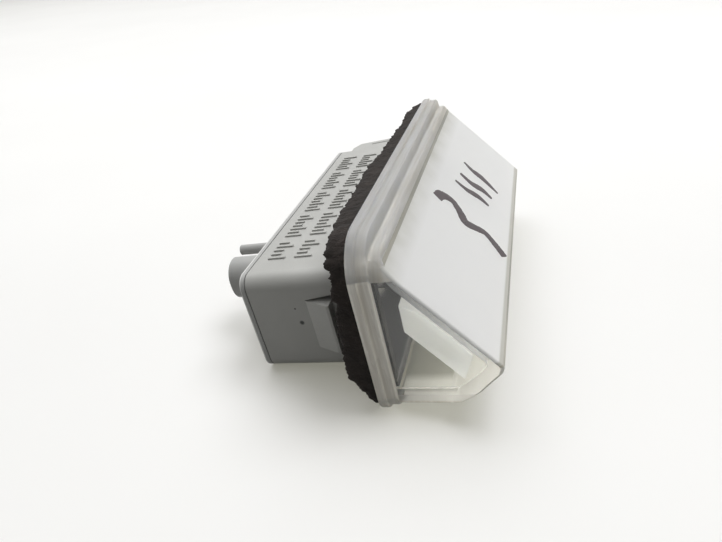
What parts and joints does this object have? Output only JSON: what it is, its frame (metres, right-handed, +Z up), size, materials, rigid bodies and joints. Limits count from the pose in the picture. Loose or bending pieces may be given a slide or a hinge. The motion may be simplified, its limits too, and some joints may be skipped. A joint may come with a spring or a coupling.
{
  "type": "number plate lamp",
  "caption": "Vehicle number plate lamp: long clear wedge lens with a frosted sloping window, torn foam gasket, grey moulded housing with snap catches and a rear connector shroud.",
  "frame": {"origin": "middle of the lens rim's back face, where the lamp's rim stops in front of the panel", "axes": "+X out through the lens, +Y along the lamp towards the end with the hook, +Z up"},
  "size_m": [0.0558, 0.0844, 0.0324],
  "materials": {
    "housing_grey": "fine moulded satin",
    "cover_grey": "fine moulded satin",
    "seal_rubber": "matte",
    "lens_clear": "clear with a frosted window",
    "sealant": "satin",
    "opal": "opal",
    "foam": "open-cell foam, torn",
    "film": "satin",
    "holder_cream": "satin",
    "brass": "stamped",
    "spring_bronze": "rolled",
    "rivet_steel": "plain",
    "bulb_glass": "clear",
    "wire": "drawn"
  },
  "bodies": {
    "root": {"housing": "housing_grey", "rear_cover": "cover_grey", "cover_seal": "seal_rubber", "lens": "lens_clear", "lens_sealant": "sealant", "diffuser": "opal", "foam_gasket": "foam", "gasket_film": "film", "bulb_holder": "holder_cream", "terminal_positive": "brass", "terminal_negative": "brass", "contact_positive": "spring_bronze", "contact_negative": "spring_bronze", "rivet_positive": "rivet_steel", "rivet_negative": "rivet_steel", "bulb_glass": "bulb_glass", "bulb_filament": "wire", "lead_wire_upper": "wire", "lead_wire_lower": "wire"}
  },
  "joints": []
}
